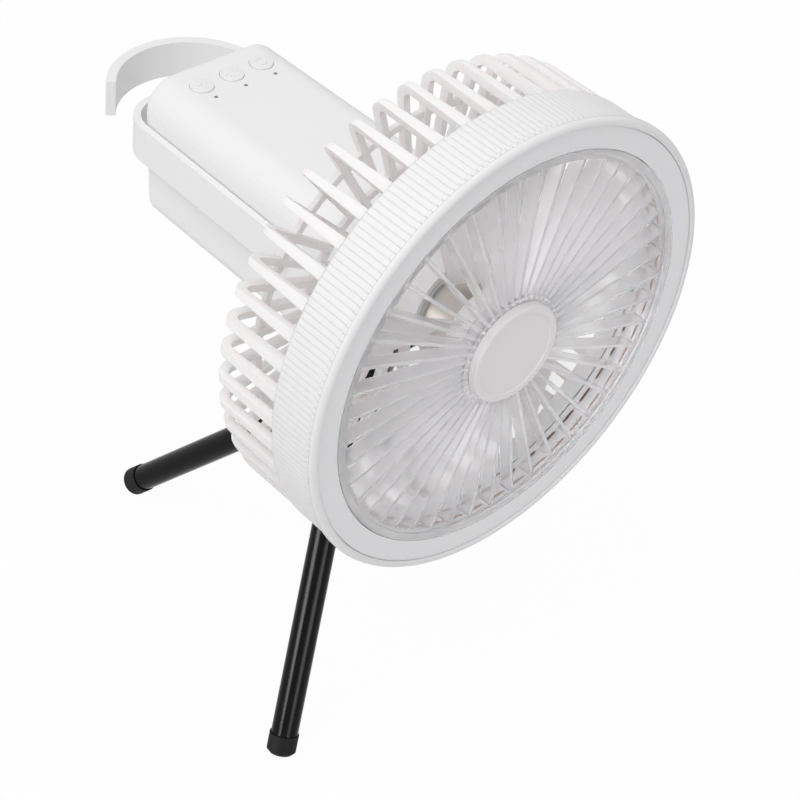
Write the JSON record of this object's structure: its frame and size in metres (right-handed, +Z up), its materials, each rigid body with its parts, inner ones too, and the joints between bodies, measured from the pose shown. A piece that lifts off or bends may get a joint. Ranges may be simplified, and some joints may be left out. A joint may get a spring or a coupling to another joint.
{
  "type": "camping fan",
  "caption": "Ring-lit tabletop fan with a ribbed clear grille and finned rear cage, a battery housing, a swinging bracket with a swivel hook, and a folding ball-head tripod.",
  "frame": {"origin": "on the ground under the centre of the whole fan's box", "axes": "+Z up, the fan blows towards -Y, +X to the left as seen from the front"},
  "size_m": [0.19, 0.239, 0.3144],
  "materials": {
    "white_shell": "satin white moulding",
    "cap_white": "smooth white moulding",
    "button_white": "satin white moulding",
    "light_window": "milky light diffuser, unlit",
    "clear_grille": "clear moulding",
    "frosted": "frosted translucent moulding",
    "grey_rubber": "soft grey rubber",
    "inner_plastic": "plain inner moulding",
    "board": "green circuit board",
    "chip": "light chip with phosphor",
    "lens": "dark light guide",
    "steel": "plated steel",
    "motor_steel": "dark plated steel can",
    "magnet": "ferrite magnet",
    "copper": "windings on a steel core",
    "brass": "turned brass",
    "cell": "cell in a blue film sleeve",
    "black_plastic": "gloss black moulding",
    "black_metal": "gloss black lacquer",
    "black_rubber": "black rubber"
  },
  "bodies": {
    "tripod_base": {"tripod_hub": "black_plastic", "leg_pins": "steel"},
    "leg_1": {"leg_knuckle_1": "black_plastic", "leg_tube_1": "black_metal", "leg_foot_1": "black_rubber"},
    "leg_2": {"leg_knuckle_2": "black_plastic", "leg_tube_2": "black_metal", "leg_foot_2": "black_rubber"},
    "leg_3": {"leg_knuckle_3": "black_plastic", "leg_tube_3": "black_metal", "leg_foot_3": "black_rubber"},
    "pan_head": {"ball_socket": "black_plastic", "pan_bolt": "steel", "pan_washer": "inner_plastic"},
    "lock_knob": {"lock_knob": "black_plastic"},
    "rotor": {"fan_rotor": "frosted", "rotor_nut": "steel", "motor_shaft": "steel", "motor_armature": "copper"},
    "button_left": {"button_left": "button_white"},
    "button_middle": {"button_middle": "button_white"},
    "button_right": {"button_right": "button_white"},
    "bracket": {"stand_bracket": "white_shell", "pivot_pins": "steel", "hook_rivet": "steel", "hook_washer": "grey_rubber"},
    "hook": {"hook": "white_shell"},
    "head": {"front_ring": "white_shell", "led_diffuser": "light_window", "led_board": "board", "led_chips": "chip", "front_grille": "clear_grille", "grille_cap": "cap_white", "rear_cage": "white_shell", "cage_screws": "steel", "motor_can": "motor_steel", "motor_magnets": "magnet", "motor_bearings": "brass", "motor_end_cap": "inner_plastic", "motor_sleeve": "grey_rubber", "motor_screws": "steel", "upper_shell": "white_shell", "lower_shell": "white_shell", "shell_screws": "steel", "neck_screws": "steel", "indicator_lights": "lens", "control_board": "board", "button_switches": "black_plastic", "battery_cells": "cell", "battery_tray": "inner_plastic", "charging_board": "board", "charging_socket": "steel", "thread_insert": "brass", "pivot_washers": "grey_rubber", "ball_stud": "black_metal", "stud_pad": "black_rubber"}
  },
  "joints": [
    {"name": "leg_1_fold", "type": "hinge", "parent": "tripod_base", "child": "leg_1", "pos_m": [0.01114, -0.03911, 0.11781], "axis": [0.2113, 0.9774, 0], "range_deg": [0, 33.1]},
    {"name": "leg_2_fold", "type": "hinge", "parent": "tripod_base", "child": "leg_2", "pos_m": [-0.00348, -0.02585, 0.11781], "axis": [-0.9521, -0.3057, 0], "range_deg": [0, 33.1]},
    {"name": "leg_3_fold", "type": "hinge", "parent": "tripod_base", "child": "leg_3", "pos_m": [-0.00766, -0.04515, 0.11781], "axis": [0.7408, -0.6717, 0], "range_deg": [0, 33.1]},
    {"name": "pan", "type": "hinge", "parent": "tripod_base", "child": "pan_head", "pos_m": [0, -0.0367, 0.1422], "axis": [0, 0, 1], "continuous": true},
    {"name": "lock", "type": "hinge", "parent": "pan_head", "child": "lock_knob", "pos_m": [0.018, -0.0367, 0.1572], "axis": [1, 0, 0], "range_deg": [0, 180]},
    {"name": "head_tilt", "type": "hinge", "parent": "pan_head", "child": "head", "pos_m": [0, -0.0367, 0.1582], "axis": [1, 0, 0], "range_deg": [-18, 6]},
    {"name": "rotor_spin", "type": "hinge", "parent": "head", "child": "rotor", "pos_m": [0, -0.08264, 0.21776], "axis": [0, 0.9826, -0.1857], "continuous": true},
    {"name": "bracket_swing", "type": "hinge", "parent": "head", "child": "bracket", "pos_m": [0, -0.0082, 0.20777], "axis": [1, 0, 0], "range_deg": [-50, 100]},
    {"name": "hook_swivel", "type": "hinge", "parent": "bracket", "child": "hook", "pos_m": [0, 0.08908, 0.18939], "axis": [0, 0.9826, -0.1857], "continuous": true},
    {"name": "left_press", "type": "slide", "parent": "head", "child": "button_left", "axis": [0, -0.1857, -0.9826], "range_m": [0, 0.0005], "stiffness_N_per_m": 1500, "springref_m": -0.0003},
    {"name": "middle_press", "type": "slide", "parent": "head", "child": "button_middle", "axis": [0, -0.1857, -0.9826], "range_m": [0, 0.0005], "stiffness_N_per_m": 1500, "springref_m": -0.0003},
    {"name": "right_press", "type": "slide", "parent": "head", "child": "button_right", "axis": [0, -0.1857, -0.9826], "range_m": [0, 0.0005], "stiffness_N_per_m": 1500, "springref_m": -0.0003}
  ]
}
